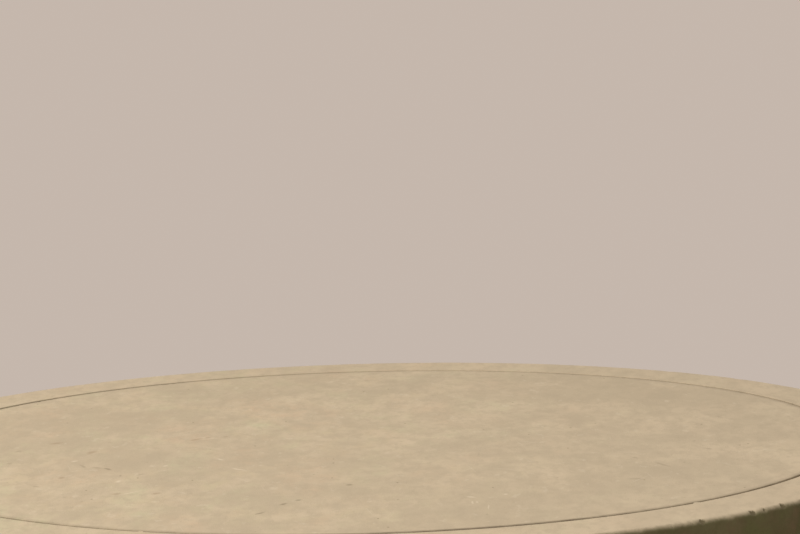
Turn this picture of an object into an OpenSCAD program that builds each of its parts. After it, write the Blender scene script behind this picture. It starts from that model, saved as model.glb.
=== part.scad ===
// Revolving display plinth: a round plywood drum with a fixed rim, and a deck that turns flush inside it.
// Lengths are in millimetres. The origin is on the floor, on the drum's axis, and +Z is up.

/* [Overall] */
// Outside diameter of the drum and its rim
plinth_d = 1000; // [900:1:1300]
// Height from the floor to the top of the rim and the deck
plinth_h = 900; // [700:1:1200]

/* [Top] */
// Thickness of the rim and the deck
top_t = 30; // [26:1:45]
// Width of the fixed rim
rim_w = 58; // [45:1:90]
// Running gap between the rim and the deck
deck_gap = 4; // [2:0.5:8]
// Radius on the rim's outer top edge
arris_r = 5.5; // [1:0.5:8]
// Bevel on the other edges of the rim, the deck and the skin
edge_bevel = 0.8; // [0.4:0.1:2]

/* [Drum] */
// Thickness of the bent plywood skin
skin_t = 8; // [5:0.5:12]
// Open joint between the two halves of the skin
skin_seam = 0.6; // [0.3:0.1:2]
// Thickness of the board that carries the bearing
board_t = 24; // [20:1:36]
// Thickness of the ring at the foot of the drum
base_t = 24; // [20:1:36]
// Thickness of the ring half way up the drum
mid_t = 18; // [12:1:30]
// Width of the rings inside the drum
ring_w = 110; // [95:1:140]
// Width and depth of each upright
stud_w = 45; // [38:1:60]
// Height of the two crossed joists under the board
joist_h = 95; // [70:1:145]

/* [Base] */
// Clear height of the toe ring above the floor
floor_gap = 12; // [10:1:25]
// Height of the set-back toe ring
toe_h = 40; // [34:1:90]
// Thickness of the toe ring's wall
toe_t = 18; // [15:1:25]
// Distance of the toe ring behind the skin's face
toe_setback = 25; // [15:1:40]

/* [Bearing] */
// Outside diameter of the ball bearing
bearing_d = 600; // [400:1:700]
// Height of the bearing from the board to the deck
bearing_h = 12; // [11:0.5:16]
// Width of each of the two races
race_w = 20; // [16:1:30]
// Gap between the two races
race_gap = 4; // [3:0.5:5]
// Height by which the turning race stands above the fixed one
race_step = 2; // [1:0.5:2.5]
// Diameter of a ball
ball_d = 6; // [5.5:0.5:6.5]
// Number of balls
ball_n = 60; // [24:4:80]
// Wall of the ball cage
cage_t = 1.6; // [1:0.1:2]
// Height of the ball cage
cage_h = 7.6; // [7:0.1:8.5]

/* [Feet] */
// Diameter of a foot's pad
pad_d = 60; // [45:1:75]
// Height of a foot's pad
pad_h = 14; // [11:1:18]
// Thickness of the rubber sole
sole_t = 3; // [2:0.5:5]
// Diameter of the threaded stem
stem_d = 12; // [10:1:16]
// Travel by which a foot screws out
foot_travel = 20; // [10:1:30]
// Width across the flats of the lock nut
nut_af = 19; // [19:1:27]
// Height of the lock nut
nut_h = 8; // [6:1:12]

/* [Screws] */
// Diameter of the screws in the frame
frame_screw_d = 6; // [5:0.5:7]
// Length of a frame screw beyond the first piece it goes through
frame_bite = 45; // [30:1:70]
// Diameter of the screws in the rim and the toe ring
trim_screw_d = 5; // [4:0.5:6]
// Depth of the rim screws in the rim
rim_bite = 20; // [12:1:22]
// Depth of the toe screws in the toe ring
toe_bite = 26; // [18:1:30]
// Diameter of the screws in the bearing races
race_screw_d = 4; // [3.5:0.5:5]
// Depth of the race screws in the board and the deck
race_bite = 14; // [10:1:17]

/* [Hidden] */
$fn = 96;
// Facets round the bearing's races, so many that their flats stay within the balls' play
race_facets = 240;

// Clearances: a glue line, a screw or a plug in its hole, a ball in its track, a stem in its thread
glue_gap = 0.2;
fit = 0.1;
ball_play = 0.15;
thread_play = 0.15;
// Depth of every countersunk head below its surface
head_sink = 0.5;
// Length by which a cut runs past the face that it opens
past = 1;

// Parts of a screw's diameter: height of its head, depth and radius of its socket, radius of its point
head_h_part = 0.5;
socket_h_part = 0.4;
socket_r_part = 0.42;
point_r_part = 0.125;

stud_n = 8;
foot_n = 4;
rim_screw_n = 16;
toe_screw_n = 8;
race_screw_n = 12;
stud_step = 360 / stud_n;
foot_step = 360 / foot_n;

outer_r = plinth_d / 2;
skin_in_r = outer_r - skin_t;
frame_r = skin_in_r - glue_gap;
ring_in_r = frame_r - ring_w;
rim_in_r = outer_r - rim_w;
deck_r = rim_in_r - deck_gap;
spacer_setback = 6;
spacer_in_r = rim_in_r + spacer_setback;
toe_out_r = outer_r - toe_setback;
toe_in_r = toe_out_r - toe_t;

rim_z = plinth_h - top_t;
board_top_z = rim_z - bearing_h;
board_z = board_top_z - board_t;
joist_z = board_z - joist_h;
base_z = floor_gap + toe_h;
stud_z = base_z + base_t;
mid_z = (stud_z + joist_z - mid_t) / 2;

race_h = bearing_h - race_step;
ball_z = board_top_z + bearing_h / 2;
fixed_race_r = bearing_d / 2;
fixed_race_in_r = fixed_race_r - race_w;
ball_r = fixed_race_in_r - race_gap / 2;
turning_race_r = fixed_race_in_r - race_gap;
turning_race_in_r = turning_race_r - race_w;
track_lip = ball_d / 2 - race_gap / 2;
fixed_screw_r = fixed_race_r - (race_w - track_lip) / 2;
turning_screw_r = turning_race_in_r + (race_w - track_lip) / 2;
access_d = 24;
access_angle = stud_step;

stud_screw_r = frame_r - stud_w / 2;
joist_screw_rs = [turning_race_in_r / 2, (fixed_race_r + stud_screw_r) / 2];
rim_screw_r = (spacer_in_r + frame_r) / 2;
toe_screw_r = (toe_in_r + toe_out_r) / 2;

// Screw lengths, each from the sunk head through its first pieces to its bite
base_screw_len = base_t - head_sink + frame_bite;
board_screw_len = board_t - head_sink + frame_bite;
joist_screw_len = joist_h - head_sink + frame_bite;
rim_screw_len = board_t + bearing_h - head_sink + rim_bite;
toe_screw_len = base_t - head_sink + toe_bite;
race_screw_len = race_h - head_sink + race_bite;

// Each foot stands inside the toe ring, beside one of the uprights that reach the board
foot_clear = 8;
foot_r = toe_in_r - foot_clear - pad_d / 2;
foot_first = stud_step;
insert_wall = 3;
insert_flange_w = 8;
insert_flange_t = 3;
bore_r = stem_d / 2 + thread_play;
insert_r = bore_r + insert_wall;
insert_flange_r = insert_r + insert_flange_w;
nut_z = base_z - insert_flange_t - glue_gap - nut_h;
sole_inset = 2;
sole_grip = 1;
sole_r = pad_d / 2 - sole_inset;
pad_edge_h = 6;
pad_neck_w = 8;
socket_floor = 2;
socket_z = sole_t + socket_floor;
collar_w = 5;
collar_h = 8;

paint_cream = [0.79, 0.71, 0.59];
paint_olive = [0.33, 0.30, 0.21];
plywood = [0.80, 0.67, 0.48];
pine = [0.87, 0.73, 0.51];
toe_black = [0.12, 0.12, 0.11];
aluminium = [0.78, 0.79, 0.80];
steel = [0.66, 0.67, 0.68];
nylon = [0.90, 0.89, 0.85];
pad_black = [0.10, 0.10, 0.10];
rubber = [0.05, 0.05, 0.05];

stud_names = [for (i = [1 : stud_n]) str("stud_", i)];
stem_names = [for (i = [1 : foot_n]) str("foot_stem_", i)];
pad_names = [for (i = [1 : foot_n]) str("foot_pad_", i)];
sole_names = [for (i = [1 : foot_n]) str("foot_sole_", i)];

// Shared shapes

// A flat ring standing on z = 0
module ring(r_in, r_out, h) {
    rotate_extrude() translate([r_in, 0]) square([r_out - r_in, h]);
}

// The outline of a 45 degree bevel, to cut from a corner at the origin
module bevel_cut(size) {
    rotate(45) square(size * sqrt(2), center = true);
}

// A countersunk screw's form, with the top of its head at z = 0 and its point down
module screw_form(d, len, grow = 0) {
    shank_r = d / 2 + grow;
    head_r = d + grow;
    head_h = d * head_h_part;
    point_r = d * point_r_part + grow;
    end_z = -len - grow;
    rotate_extrude() polygon([
        [0, 0], [head_r, 0], [shank_r, -head_h], [shank_r, d - len], [point_r, end_z], [0, end_z]
    ]);
}

// A screw with a six-sided socket in its head
module screw(d, len) {
    socket_depth = d * socket_h_part;
    difference() {
        screw_form(d, len);
        translate([0, 0, -socket_depth]) cylinder(h = socket_depth + past, r = d * socket_r_part, $fn = 6);
    }
}

// The hole for that screw, open above its sunk head
module screw_hole(d, len) {
    screw_form(d, len, fit);
    overlap = head_sink / 2;
    translate([0, 0, -overlap]) cylinder(h = overlap + head_sink + past, r = d + fit);
}

// Turns a screw that points down into one that points up
module upward() {
    mirror([0, 0, 1]) children();
}

// Copies what it is given round a circle
module round_circle(count, r, first = 0) {
    for (i = [0 : count - 1]) {
        rotate(first + i * 360 / count) translate([r, 0, 0]) children();
    }
}

// The two screws in the end of each upright, on every count-th part of the circle
module on_stud_ends(count, first) {
    round_circle(count, stud_screw_r, first) {
        for (side = [-1, 1]) {
            translate([0, side * stud_w / 4, 0]) children();
        }
    }
}

// Where each kind of screw goes, for the screws themselves and for their holes
module at_base_screws() {
    translate([0, 0, base_z + head_sink]) upward() on_stud_ends(stud_n, 0) children();
}

module at_joist_screws() {
    translate([0, 0, board_z - head_sink]) on_stud_ends(stud_n / 2, 0) children();
}

module at_board_screws() {
    translate([0, 0, board_top_z - head_sink]) {
        on_stud_ends(stud_n / 2, stud_step) children();
        for (r = joist_screw_rs) {
            round_circle(stud_n / 2, r) children();
        }
    }
}

module at_rim_screws() {
    translate([0, 0, board_z + head_sink]) upward() {
        round_circle(rim_screw_n, rim_screw_r, 180 / rim_screw_n) children();
    }
}

module at_toe_screws() {
    translate([0, 0, stud_z - head_sink]) round_circle(toe_screw_n, toe_screw_r, stud_step / 2) children();
}

module at_fixed_race_screws() {
    translate([0, 0, board_top_z + race_h - head_sink]) {
        round_circle(race_screw_n, fixed_screw_r, 180 / race_screw_n) children();
    }
}

module at_turning_race_screws() {
    translate([0, 0, board_top_z + race_step + head_sink]) upward() {
        round_circle(race_screw_n, turning_screw_r, 180 / race_screw_n) children();
    }
}

// Top

module deck() {
    color(paint_cream) difference() {
        translate([0, 0, rim_z]) rotate_extrude() difference() {
            square([deck_r, top_t]);
            translate([deck_r, top_t]) bevel_cut(edge_bevel);
            translate([deck_r, 0]) bevel_cut(edge_bevel);
        }
        at_turning_race_screws() screw_hole(race_screw_d, race_screw_len);
    }
}

module rim_ring() {
    color(paint_cream) difference() {
        translate([0, 0, rim_z]) rotate_extrude() difference() {
            translate([rim_in_r, 0]) square([rim_w, top_t]);
            translate([outer_r - arris_r, top_t - arris_r]) difference() {
                square(2 * arris_r);
                circle(arris_r);
            }
            translate([rim_in_r, top_t]) bevel_cut(edge_bevel);
            translate([outer_r, 0]) bevel_cut(edge_bevel);
        }
        at_rim_screws() screw_hole(trim_screw_d, rim_screw_len);
    }
}

// Packs the rim up by the height of the bearing
module rim_spacer() {
    color(plywood) difference() {
        translate([0, 0, board_top_z]) ring(spacer_in_r, frame_r, bearing_h);
        at_rim_screws() screw_hole(trim_screw_d, rim_screw_len);
    }
}

// Frame

// The board under the bearing, with one hole for driving the screws of the turning race
module top_board() {
    color(plywood) difference() {
        translate([0, 0, board_z]) cylinder(h = board_t, r = frame_r);
        at_board_screws() screw_hole(frame_screw_d, board_screw_len);
        at_rim_screws() screw_hole(trim_screw_d, rim_screw_len);
        at_fixed_race_screws() screw_hole(race_screw_d, race_screw_len);
        rotate(access_angle) translate([turning_screw_r, 0, board_z - past]) {
            cylinder(h = board_t + 2 * past, d = access_d);
        }
    }
}

// One of two joists that cross under the board, halved together in the middle
module joist(angle, halved_from_top) {
    lap_w = stud_w + 2 * glue_gap;
    lap_h = joist_h / 2 + glue_gap / 2;
    lap_z = halved_from_top ? board_z - lap_h : joist_z - past;
    difference() {
        intersection() {
            rotate(angle) translate([-outer_r, -stud_w / 2, joist_z]) cube([plinth_d, stud_w, joist_h]);
            translate([0, 0, joist_z - past]) cylinder(h = joist_h + 2 * past, r = frame_r);
        }
        rotate(angle) translate([-lap_w / 2, -lap_w / 2, lap_z]) cube([lap_w, lap_w, lap_h + past]);
        at_joist_screws() screw_hole(frame_screw_d, joist_screw_len);
        at_board_screws() screw_hole(frame_screw_d, board_screw_len);
    }
}

module joist_x() {
    color(pine) joist(0, true);
}

module joist_y() {
    color(pine) joist(90, false);
}

// An upright with its outer face planed to the drum's curve. The odd ones stop under the joists
module stud(i) {
    top_z = i % 2 == 1 ? joist_z : board_z;
    color(pine) difference() {
        intersection() {
            rotate((i - 1) * stud_step) translate([frame_r - stud_w, -stud_w / 2, stud_z]) {
                cube([2 * stud_w, stud_w, top_z - stud_z]);
            }
            translate([0, 0, stud_z - past]) cylinder(h = top_z - stud_z + 2 * past, r = frame_r);
        }
        at_base_screws() screw_hole(frame_screw_d, base_screw_len);
        at_board_screws() screw_hole(frame_screw_d, board_screw_len);
        at_joist_screws() screw_hole(frame_screw_d, joist_screw_len);
    }
}

// The ring half way up, notched round the uprights
module mid_ring() {
    notch_w = stud_w + 2 * glue_gap;
    color(plywood) difference() {
        translate([0, 0, mid_z]) ring(ring_in_r, frame_r, mid_t);
        round_circle(stud_n, frame_r - stud_w - glue_gap) {
            translate([0, -notch_w / 2, mid_z - past]) cube([2 * stud_w, notch_w, mid_t + 2 * past]);
        }
    }
}

module base_ring() {
    color(plywood) difference() {
        translate([0, 0, base_z]) ring(ring_in_r, frame_r, base_t);
        at_base_screws() screw_hole(frame_screw_d, base_screw_len);
        at_toe_screws() screw_hole(trim_screw_d, toe_screw_len);
        round_circle(foot_n, foot_r, foot_first) {
            translate([0, 0, base_z - past]) cylinder(h = base_t + 2 * past, r = insert_r + fit);
        }
    }
}

module toe_ring() {
    color(toe_black) difference() {
        translate([0, 0, floor_gap]) ring(toe_in_r, toe_out_r, toe_h);
        at_toe_screws() screw_hole(trim_screw_d, toe_screw_len);
    }
}

// Half of the bent skin: side is -1 for the front and 1 for the rear
module skin_half(side) {
    skin_h = rim_z - base_z;
    half_w = plinth_d + 2 * past;
    color(paint_olive) intersection() {
        translate([0, 0, base_z]) rotate_extrude() difference() {
            translate([skin_in_r, 0]) square([skin_t, skin_h]);
            translate([outer_r, skin_h]) bevel_cut(edge_bevel);
            translate([outer_r, 0]) bevel_cut(edge_bevel);
        }
        translate([0, side * (skin_seam + half_w) / 2, plinth_h / 2]) {
            cube([half_w, half_w, plinth_h], center = true);
        }
    }
}

// Bearing

// The round track of the balls, as an outline to cut from a race
module ball_track() {
    translate([ball_r, ball_z]) circle(ball_d / 2 + ball_play);
}

module bearing_fixed_race() {
    color(aluminium) difference() {
        rotate_extrude($fn = race_facets) difference() {
            translate([fixed_race_in_r, board_top_z]) square([race_w, race_h]);
            ball_track();
        }
        at_fixed_race_screws() screw_hole(race_screw_d, race_screw_len);
    }
}

module bearing_turning_race() {
    color(aluminium) difference() {
        rotate_extrude($fn = race_facets) difference() {
            translate([turning_race_in_r, board_top_z + race_step]) square([race_w, race_h]);
            ball_track();
        }
        at_turning_race_screws() screw_hole(race_screw_d, race_screw_len);
    }
}

module bearing_balls() {
    color(steel) round_circle(ball_n, ball_r) translate([0, 0, ball_z]) sphere(d = ball_d);
}

// A thin ring with a pocket for each ball
module bearing_cage() {
    color(nylon) difference() {
        translate([0, 0, ball_z - cage_h / 2]) ring(ball_r - cage_t / 2, ball_r + cage_t / 2, cage_h);
        round_circle(ball_n, ball_r) translate([0, 0, ball_z]) rotate([0, 90, 0]) {
            cylinder(h = cage_t + 2 * past, r = ball_d / 2 + ball_play, center = true);
        }
    }
}

// Screws

module fixed_race_screws() {
    color(steel) at_fixed_race_screws() screw(race_screw_d, race_screw_len);
}

module turning_race_screws() {
    color(steel) at_turning_race_screws() screw(race_screw_d, race_screw_len);
}

module board_screws() {
    color(steel) at_board_screws() screw(frame_screw_d, board_screw_len);
}

module joist_screws() {
    color(steel) at_joist_screws() screw(frame_screw_d, joist_screw_len);
}

module rim_screws() {
    color(steel) at_rim_screws() screw(trim_screw_d, rim_screw_len);
}

module base_screws() {
    color(steel) at_base_screws() screw(frame_screw_d, base_screw_len);
}

module toe_screws() {
    color(steel) at_toe_screws() screw(trim_screw_d, toe_screw_len);
}

// Feet

// Flanged and threaded plugs in the base ring, one over each foot
module foot_inserts() {
    color(steel) round_circle(foot_n, foot_r, foot_first) rotate_extrude() {
        translate([bore_r, base_z]) square([insert_wall, base_t]);
        translate([bore_r, base_z - insert_flange_t]) square([insert_flange_r - bore_r, insert_flange_t]);
    }
}

// A six-sided nut standing on z = 0
module hex_solid(across_flats, h) {
    cylinder(h = h, d = across_flats / cos(30), $fn = 6);
}

module foot_lock_nuts() {
    color(steel) round_circle(foot_n, foot_r, foot_first) translate([0, 0, nut_z]) difference() {
        hex_solid(nut_af, nut_h);
        translate([0, 0, -past]) cylinder(h = nut_h + 2 * past, r = bore_r);
    }
}

// Places a foot's pieces, which are drawn on the origin
module at_foot(i) {
    rotate(foot_first + (i - 1) * foot_step) translate([foot_r, 0, 0]) children();
}

// The threaded stem with its spanner collar
module foot_stem(i) {
    stem_top_z = stud_z + foot_travel;
    tip_bevel = 1.2;
    color(steel) at_foot(i) {
        rotate_extrude() difference() {
            translate([0, socket_z]) square([stem_d / 2, stem_top_z - socket_z]);
            translate([stem_d / 2, stem_top_z]) bevel_cut(tip_bevel);
        }
        translate([0, 0, pad_h]) hex_solid(stem_d + collar_w, collar_h);
    }
}

// The moulded pad, with a socket for the stem and a recess for the sole
module foot_pad(i) {
    pad_r = pad_d / 2;
    lip_z = sole_t - sole_grip;
    recess_r = sole_r + fit;
    socket_r = stem_d / 2 + fit;
    neck_r = stem_d / 2 + pad_neck_w;
    color(pad_black) at_foot(i) rotate_extrude() polygon([
        [0, sole_t], [recess_r, sole_t], [recess_r, lip_z], [pad_r, lip_z], [pad_r, pad_edge_h],
        [neck_r, pad_h], [socket_r, pad_h], [socket_r, socket_z], [0, socket_z]
    ]);
}

module foot_sole(i) {
    color(rubber) at_foot(i) cylinder(h = sole_t, r = sole_r);
}

deck();
rim_ring();
rim_spacer();
top_board();
joist_x();
joist_y();
for (i = [1 : stud_n]) {
    stud(i);
}
mid_ring();
base_ring();
toe_ring();
skin_half(-1);  // skin_front
skin_half(1);  // skin_rear
bearing_fixed_race();
bearing_turning_race();
bearing_balls();
bearing_cage();
fixed_race_screws();
turning_race_screws();
board_screws();
joist_screws();
rim_screws();
base_screws();
toe_screws();
foot_inserts();
foot_lock_nuts();
for (i = [1 : foot_n]) {
    foot_stem(i);
    foot_pad(i);
    foot_sole(i);
}
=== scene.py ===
import math

import bmesh
import bpy
import numpy as np
from mathutils import Matrix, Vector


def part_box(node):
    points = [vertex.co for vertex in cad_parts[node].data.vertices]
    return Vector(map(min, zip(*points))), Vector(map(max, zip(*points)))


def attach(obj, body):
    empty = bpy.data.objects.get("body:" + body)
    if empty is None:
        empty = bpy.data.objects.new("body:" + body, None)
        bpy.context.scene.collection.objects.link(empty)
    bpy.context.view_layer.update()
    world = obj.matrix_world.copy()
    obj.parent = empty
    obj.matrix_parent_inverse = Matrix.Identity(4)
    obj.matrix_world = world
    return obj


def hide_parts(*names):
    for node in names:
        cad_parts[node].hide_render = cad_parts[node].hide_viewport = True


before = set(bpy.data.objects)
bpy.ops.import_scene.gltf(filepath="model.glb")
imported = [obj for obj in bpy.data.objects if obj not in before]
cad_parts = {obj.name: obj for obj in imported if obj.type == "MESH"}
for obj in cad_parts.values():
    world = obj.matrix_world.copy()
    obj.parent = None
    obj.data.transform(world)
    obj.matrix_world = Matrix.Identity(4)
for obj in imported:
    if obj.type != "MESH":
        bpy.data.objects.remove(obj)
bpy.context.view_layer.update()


# Rubber soles of the levelling feet
# Each is a stamped disc of black rubber, glued into the recess under its pad.
# It carries the whole plinth, so its lower edge is pressed a little round and is grey with floor dust.

def outline_with_arcs(corners, radii, steps=5):
    """The closed outline through the corners, each swapped for an arc of its own radius.

    An arc's points are its centre plus the two end spokes, blended by the sines of the angle still to go
    and of the angle gone, which turns the spoke evenly from one end to the other.
    """
    corners = np.asarray(corners, float)
    ahead = np.roll(corners, -1, 0) - corners
    behind = np.roll(corners, 1, 0) - corners
    ahead /= np.linalg.norm(ahead, axis=1, keepdims=True)
    behind /= np.linalg.norm(behind, axis=1, keepdims=True)
    points = []
    for corner, out, back, radius in zip(corners, ahead, behind, radii):
        if radius == 0:
            points.append(corner[None])
            continue
        half = math.acos(np.clip(out @ back, -1, 1)) / 2
        middle = (out + back) / np.linalg.norm(out + back)
        centre = corner + middle * radius / math.sin(half)
        first = corner + back * radius / math.tan(half) - centre
        last = corner + out * radius / math.tan(half) - centre
        turn = math.pi - 2 * half
        share = np.linspace(0, 1, steps + 1)[:, None]
        spokes = (np.sin((1 - share) * turn) * first + np.sin(share * turn) * last) / math.sin(turn)
        points.append(centre + spokes)
    return np.vstack(points)


def ring_outline(inner_r, outer_r, low, high, radii, steps=5):
    """A ring's section: a rectangle from its inner lower corner up and round, a radius for each corner."""
    corners = [(inner_r, low), (inner_r, high), (outer_r, high), (outer_r, low)]
    return outline_with_arcs(corners, radii, steps)


def even_angles(count):
    """That many angles round a whole turn, evenly spaced."""
    return np.arange(count) * 2 * math.pi / count


def turned_piece(name, radius, height, angles, centre=(0, 0), loop=True, whole_turn=True, masks=None):
    """A profile carried round an upright axis through centre: point (i, j) lies at radius[i, j] and
    height[i, j] from it, at angles[j]. With loop the last row joins the first. Without it the first and
    last rows have no radius and close as poles. A part turn is closed by the profile at both ends. masks
    are values for each point, kept on the mesh under their names.
    """
    shape = np.broadcast_shapes(np.shape(radius), np.shape(height), (1, len(angles)))
    radius = np.broadcast_to(radius, shape)
    height = np.broadcast_to(height, shape)
    x = centre[0] + radius * np.cos(angles)
    y = centre[1] + radius * np.sin(angles)
    points = np.stack([x, y, height], -1).reshape(-1, 3)
    index = np.arange(len(points)).reshape(shape)
    here = index if whole_turn else index[:, :-1]
    beside = np.roll(index, -1, 1) if whole_turn else index[:, 1:]
    above_here = np.roll(here, -1, 0)
    above_beside = np.roll(beside, -1, 0)
    rows = slice(None) if loop else slice(0, -1)
    faces = np.stack([here, above_here, above_beside, beside], -1)[rows].reshape(-1, 4).tolist()
    if not whole_turn:
        faces += [index[::-1, 0].tolist(), index[:, -1].tolist()]
    mesh = bpy.data.meshes.new(name)
    mesh.from_pydata(points, [], faces)
    for mask, values in (masks or {}).items():
        layer = mesh.attributes.new(mask, "FLOAT", "POINT")
        layer.data.foreach_set("value", np.broadcast_to(values, shape).astype(np.float32).ravel())
    return finished_piece(name, mesh)


def finished_piece(name, mesh):
    """Draws the mesh's poles together, smooths it up to its real edges and puts it in the scene."""
    same_place = 1e-7
    sharp_from = math.radians(38)
    shell = bmesh.new()
    shell.from_mesh(mesh)
    bmesh.ops.remove_doubles(shell, verts=shell.verts, dist=same_place)
    shell.to_mesh(mesh)
    shell.free()
    mesh.shade_smooth()
    mesh.set_sharp_from_angle(angle=sharp_from)
    piece = bpy.data.objects.new(name, mesh)
    bpy.context.scene.collection.objects.link(piece)
    return piece


def add_node(tree, kind, inputs=None, **settings):
    """A shader node with its settings. Each input is set to a value or joined to another node's output, and
    a colour is given without its alpha.
    """
    made = tree.nodes.new("ShaderNode" + kind)
    for key, value in settings.items():
        setattr(made, key, value)
    for key, value in (inputs or {}).items():
        socket = made.inputs[key]
        if isinstance(value, bpy.types.NodeSocket):
            tree.links.new(value, socket)
        else:
            socket.default_value = (*value, 1.0) if socket.type == "RGBA" else value
    return made


def sums(operation, first, second=0.0):
    """The result of a sum on one or two values, in the tree of the one that is a node's output."""
    source = first if isinstance(first, bpy.types.NodeSocket) else second
    return add_node(source.id_data, "Math", {0: first, 1: second}, operation=operation).outputs[0]


def times(first, *others):
    """The product of all these values."""
    for other in others:
        first = sums("MULTIPLY", first, other)
    return first


def between(value, low, high):
    """0 at low and 1 at high, eased between them and even beyond. low may be the greater of the two."""
    limits = {"Value": value, "From Min": low, "From Max": high}
    eased = add_node(value.id_data, "MapRange", limits, interpolation_type="SMOOTHSTEP")
    return eased.outputs["Result"]


def blend(first, second, share, strength=1.0):
    """The first colour, with a share of the second laid on it at that strength."""
    if strength < 1:
        share = times(share, strength)
    return add_node(share.id_data, "Mix", {0: share, 6: first, 7: second}, data_type="RGBA").outputs[2]


def mapped(place, **change):
    """A place moved by a Location, turned by a Rotation or stretched by a Scale."""
    return add_node(place.id_data, "Mapping", {"Vector": place, **change}).outputs[0]


def noise(place, scale, detail=3.0, roughness=0.55):
    """Soft random values from 0 to 1, with about scale blotches in a metre or a scale for each axis."""
    if isinstance(scale, tuple):
        place = mapped(place, Scale=scale)
        scale = 1.0
    values = {"Vector": place, "Scale": scale, "Detail": detail, "Roughness": roughness}
    return add_node(place.id_data, "TexNoise", values).outputs["Fac"]


def part_of(vector, axis):
    """One coordinate of a vector."""
    return add_node(vector.id_data, "SeparateXYZ", {0: vector}).outputs[axis]


def new_finish(name, specular=0.5, metallic=0.0):
    """An empty material, and the coordinates of the piece in it."""
    material = bpy.data.materials.new(name)
    material.use_nodes = True
    shader = material.node_tree.nodes["Principled BSDF"].inputs
    shader["Specular IOR Level"].default_value = specular
    shader["Metallic"].default_value = metallic
    return material, add_node(material.node_tree, "TexCoord").outputs["Object"]


def feed(material, colour, roughness, height, depth):
    """The material with these joined to its shader. depth is the full relief of the surface height."""
    tree = material.node_tree
    relief = add_node(tree, "Bump", {"Height": height, "Distance": depth, "Strength": 1.0})
    shader = tree.nodes["Principled BSDF"].inputs
    tree.links.new(colour, shader["Base Color"])
    tree.links.new(roughness, shader["Roughness"])
    tree.links.new(relief.outputs[0], shader["Normal"])
    return material


def new_group(name, inputs, outputs):
    """A node group with named inputs and outputs, and the sockets that its inputs come in by."""
    group = bpy.data.node_groups.new(name, "ShaderNodeTree")
    for way, sockets in (("INPUT", inputs), ("OUTPUT", outputs)):
        for label, kind in sockets.items():
            group.interface.new_socket(label, in_out=way, socket_type="NodeSocket" + kind)
    return group, group.nodes.new("NodeGroupInput").outputs


def put_out(group, **results):
    """The group with its results joined to its outputs of the same names."""
    wanted = group.nodes.new("NodeGroupOutput").inputs
    for label, result in results.items():
        group.links.new(result, wanted[label])
    return group


def use_group(group, place, **values):
    """A group placed in the tree of the place, with its own values: its outputs."""
    return add_node(place.id_data, "Group", {"Vector": place, **values}, node_tree=group).outputs


def settled_dust_group():
    """Dust: thick where the surface faces up, broken into soft patches. Puts out a share from 0 to 1."""
    inputs = {"Vector": "Vector", "Amount": "Float", "Scale": "Float"}
    group, given = new_group("settled_dust", inputs, {"Share": "Float"})
    normal = add_node(group, "NewGeometry").outputs["Normal"]
    facing = between(part_of(normal, "Z"), -0.2, 0.95)
    broken = between(noise(given["Vector"], given["Scale"], detail=4, roughness=0.5), 0.35, 0.7)
    return put_out(group, Share=times(facing, broken, given["Amount"]))


settled_dust = settled_dust_group()


def dusted(place, colour, amount, scale):
    """The colour with that amount of dust settled on it, in about scale patches to a metre."""
    dust_grey = (0.40, 0.36, 0.30)
    return blend(colour, dust_grey, use_group(settled_dust, place, Amount=amount, Scale=scale)["Share"])


def black_rubber():
    """Black rubber: a fine grain from its mould and grey dust that has been trodden into it."""
    material, place = new_finish("black_rubber", specular=0.3)
    black, greyed = (0.012, 0.012, 0.012), (0.030, 0.029, 0.028)
    grain = noise(place, 900, detail=2)
    colour = blend(black, greyed, noise(place, 70, detail=4))
    colour = dusted(place, colour, amount=0.5, scale=120)
    return feed(material, colour, between(grain, -1.5, 1.2), grain, depth=0.0002)


def foot_box(node):
    """The lowest and highest corner of a foot's piece, and its centre seen from above."""
    low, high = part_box(node)
    return low, high, ((low.x + high.x) / 2, (low.y + high.y) / 2)


foot_numbers = range(1, 5)
tread_edge = 0.0007
rubber = black_rubber()
for number in foot_numbers:
    sole_lo, sole_hi, foot_centre = foot_box(f"foot_sole_{number}")
    sole_r = (sole_hi.x - sole_lo.x) / 2
    sole_outline = ring_outline(0, sole_r, sole_lo.z, sole_hi.z, [0, 0, 0, tread_edge])
    sole_rows = np.roll(sole_outline, -1, 0)
    sole = turned_piece(
        f"sole_{number}", sole_rows[:, :1], sole_rows[:, 1:], even_angles(72), foot_centre, loop=False
    )
    sole.data.materials.append(rubber)
    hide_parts(f"foot_sole_{number}")
    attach(sole, f"foot_{number}")


# Foot pads
# Each is a moulded black nylon dish with a socket for the stem, stiffened by low ribs on its sloping top.
# The mould leaves a fine spark grain on it and a soft radius on every edge.

def black_nylon():
    """Moulded black nylon: spark grain, paler where it has been handled, dusty on top."""
    material, place = new_finish("black_nylon", specular=0.4)
    black, paler = (0.011, 0.011, 0.012), (0.026, 0.026, 0.027)
    grain = noise(place, 1500, detail=1)
    handled = noise(place, 45, detail=5)
    colour = dusted(place, blend(black, paler, handled), amount=0.55, scale=90)
    return feed(material, colour, between(handled, -0.9, 1.6), grain, depth=0.00012)


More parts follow.
